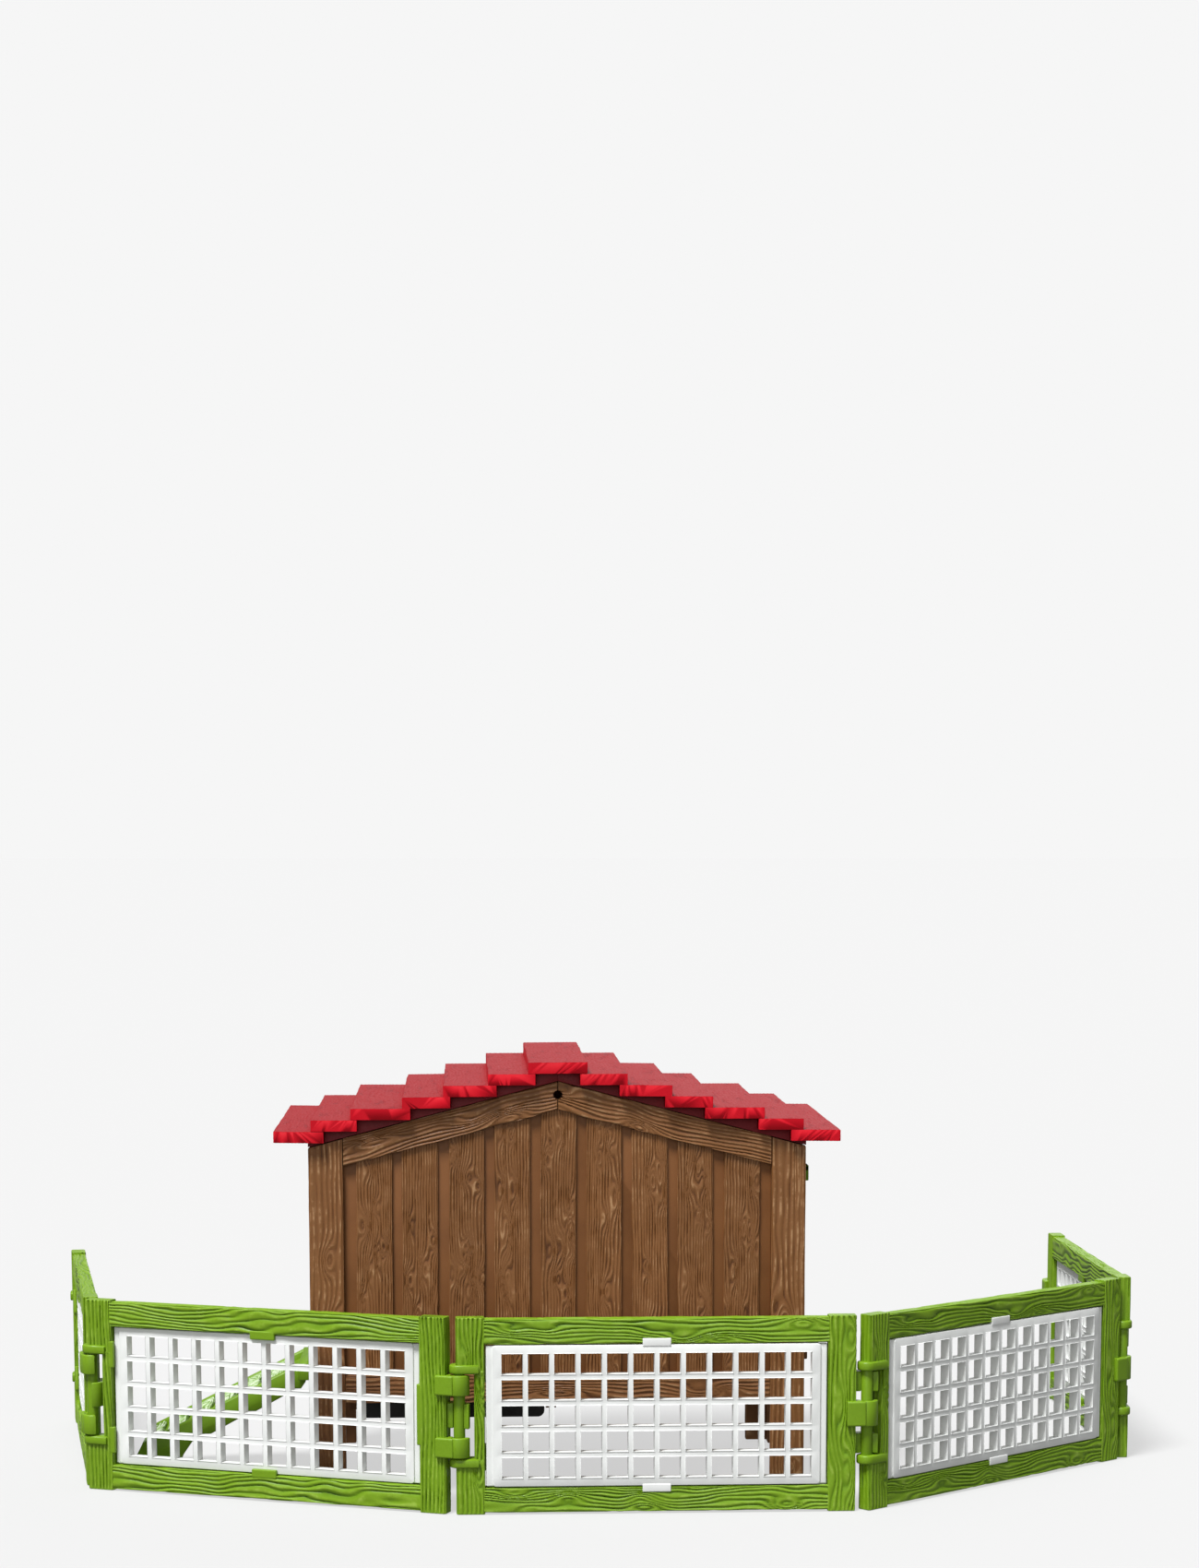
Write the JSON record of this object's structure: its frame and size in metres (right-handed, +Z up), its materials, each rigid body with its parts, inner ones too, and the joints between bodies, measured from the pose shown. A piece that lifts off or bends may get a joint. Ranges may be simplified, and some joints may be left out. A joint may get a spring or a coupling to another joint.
{
  "type": "toy rabbit hutch with a fenced run",
  "caption": "Plank hutch on legs with a stepped lift-off roof, ramp, mesh doors, pull-out tray and a run of hinged fence panels with grid infills.",
  "frame": {"origin": "middle of the whole set's footprint, hutch and fence, on the ground", "axes": "+Z up; +Y from the hutch's plain rear gable, which faces the fence, to its front gable with the doors; +X to the right as seen facing the rear gable, so the ramp leaves towards -X"},
  "size_m": [0.343, 0.2022, 0.1297],
  "materials": {
    "brown_plastic": "moulded wood grain, dry-brushed",
    "red_plastic": "moulded grain, semi-matte",
    "green_plastic": "moulded wood grain, dry-brushed",
    "white_plastic": "semi-matte",
    "dark_plastic": "semi-matte"
  },
  "bodies": {
    "hutch": {"rear_gable_wall": "brown_plastic", "front_gable_wall": "brown_plastic", "left_side_wall": "brown_plastic", "right_side_wall": "brown_plastic", "corner_post_rear_left": "brown_plastic", "corner_post_rear_right": "brown_plastic", "corner_post_front_left": "brown_plastic", "corner_post_front_right": "brown_plastic", "floor_deck": "brown_plastic", "tray_runner_left": "brown_plastic", "tray_runner_right": "brown_plastic", "front_door_right_rod": "green_plastic", "front_door_left_rod": "green_plastic", "side_door_rod": "green_plastic", "ramp_rod": "green_plastic"},
    "roof": {"roof_slope_left": "red_plastic", "roof_slope_right": "red_plastic", "ridge_board": "red_plastic"},
    "front_door_right": {"front_door_right_frame": "green_plastic", "front_door_right_mesh": "white_plastic", "front_door_right_knob": "green_plastic"},
    "front_door_left": {"front_door_left_frame": "green_plastic", "front_door_left_mesh": "white_plastic", "front_door_left_knob": "green_plastic"},
    "turn_button": {"door_turn_button": "green_plastic"},
    "side_door": {"side_door_frame": "green_plastic", "side_door_mesh": "white_plastic", "side_door_latch": "green_plastic"},
    "ramp": {"ramp_frame": "green_plastic", "ramp_treads": "green_plastic"},
    "tray": {"droppings_tray": "dark_plastic"},
    "fence_far_left": {"fence_far_left_frame": "green_plastic", "fence_far_left_grid": "white_plastic"},
    "fence_left": {"fence_left_frame": "green_plastic", "fence_left_grid": "white_plastic"},
    "fence_centre": {"fence_centre_frame": "green_plastic", "fence_centre_grid": "white_plastic"},
    "fence_right": {"fence_right_frame": "green_plastic", "fence_right_grid": "white_plastic"},
    "fence_far_right": {"fence_far_right_frame": "green_plastic", "fence_far_right_grid": "white_plastic"}
  },
  "joints": [
    {"name": "roof_lift", "type": "slide", "parent": "hutch", "child": "roof", "axis": [0, 0, 1], "range_m": [0, 0.06]},
    {"name": "front_door_right_hinge", "type": "hinge", "parent": "hutch", "child": "front_door_right", "pos_m": [0.04771, 0.01864, 0.0672], "axis": [0, 0, -1], "range_deg": [0, 150]},
    {"name": "front_door_left_hinge", "type": "hinge", "parent": "hutch", "child": "front_door_left", "pos_m": [-0.07029, 0.01864, 0.0672], "axis": [0, 0, 1], "range_deg": [0, 150]},
    {"name": "turn_button_pivot", "type": "hinge", "parent": "hutch", "child": "turn_button", "pos_m": [-0.01129, 0.01844, 0.1004], "axis": [0, 1, 0], "range_deg": [0, 90]},
    {"name": "side_door_hinge", "type": "hinge", "parent": "hutch", "child": "side_door", "pos_m": [0.06241, -0.02656, 0.0404], "axis": [0, 1, 0], "range_deg": [0, 115]},
    {"name": "ramp_hinge", "type": "hinge", "parent": "hutch", "child": "ramp", "pos_m": [-0.08789, -0.02656, 0.0332], "axis": [0, 1, 0], "range_deg": [0, 105]},
    {"name": "tray_pull", "type": "slide", "parent": "hutch", "child": "tray", "axis": [0, 1, 0], "range_m": [0, 0.06]},
    {"name": "run_moves_off", "type": "slide", "parent": "hutch", "child": "fence_centre", "axis": [0, -1, 0], "range_m": [0, 0.08]},
    {"name": "fence_left_hinge", "type": "hinge", "parent": "fence_centre", "child": "fence_left", "pos_m": [-0.04079, -0.09746, 0.029], "axis": [0, 0, 1], "range_deg": [-4, 85]},
    {"name": "fence_far_left_hinge", "type": "hinge", "parent": "fence_left", "child": "fence_far_left", "pos_m": [-0.15109, -0.05401, 0.029], "axis": [0, 0, 1], "range_deg": [-5, 85]},
    {"name": "fence_right_hinge", "type": "hinge", "parent": "fence_centre", "child": "fence_right", "pos_m": [0.07776, -0.09746, 0.029], "axis": [0, 0, -1], "range_deg": [-30, 85]},
    {"name": "fence_far_right_hinge", "type": "hinge", "parent": "fence_right", "child": "fence_far_right", "pos_m": [0.16817, -0.02078, 0.029], "axis": [0, 0, -1], "range_deg": [-30, 85]}
  ]
}
